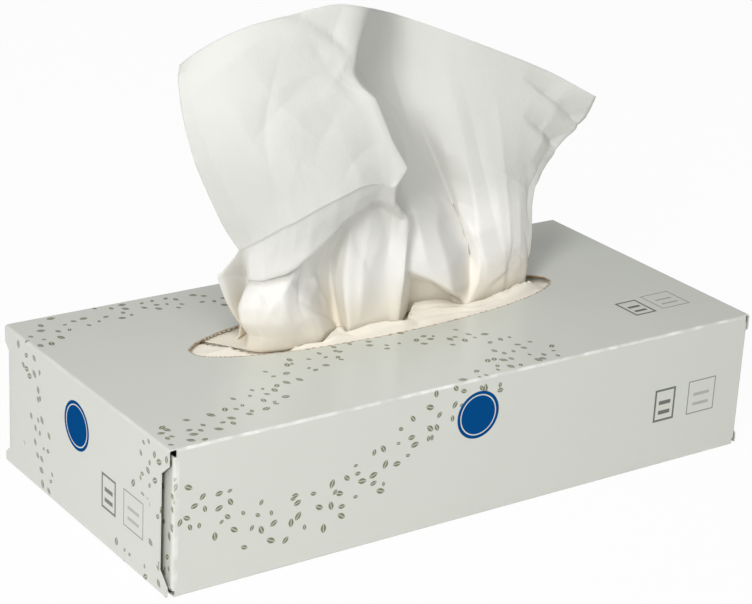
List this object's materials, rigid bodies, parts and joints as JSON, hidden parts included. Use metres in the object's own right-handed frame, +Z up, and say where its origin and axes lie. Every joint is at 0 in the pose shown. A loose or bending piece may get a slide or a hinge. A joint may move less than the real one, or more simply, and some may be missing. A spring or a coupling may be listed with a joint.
{
  "type": "tissue box",
  "caption": "Low oblong carton of facial tissues with an oval mouth in the top and a tissue standing halfway out of it.",
  "frame": {"origin": "middle of the carton's underside, on the surface it stands on", "axes": "+X along the carton to the right as seen from its front, +Y to its back, +Z up"},
  "size_m": [0.23, 0.11, 0.16],
  "materials": {
    "coated_board": "glossy coated white board with a small olive and blue print",
    "tissue_paper": "soft matt white tissue"
  },
  "bodies": {
    "root": {"carton": "coated_board", "tissue_stack": "tissue_paper", "next_tissue": "tissue_paper", "drawn_tissue": "tissue_paper"}
  },
  "joints": []
}
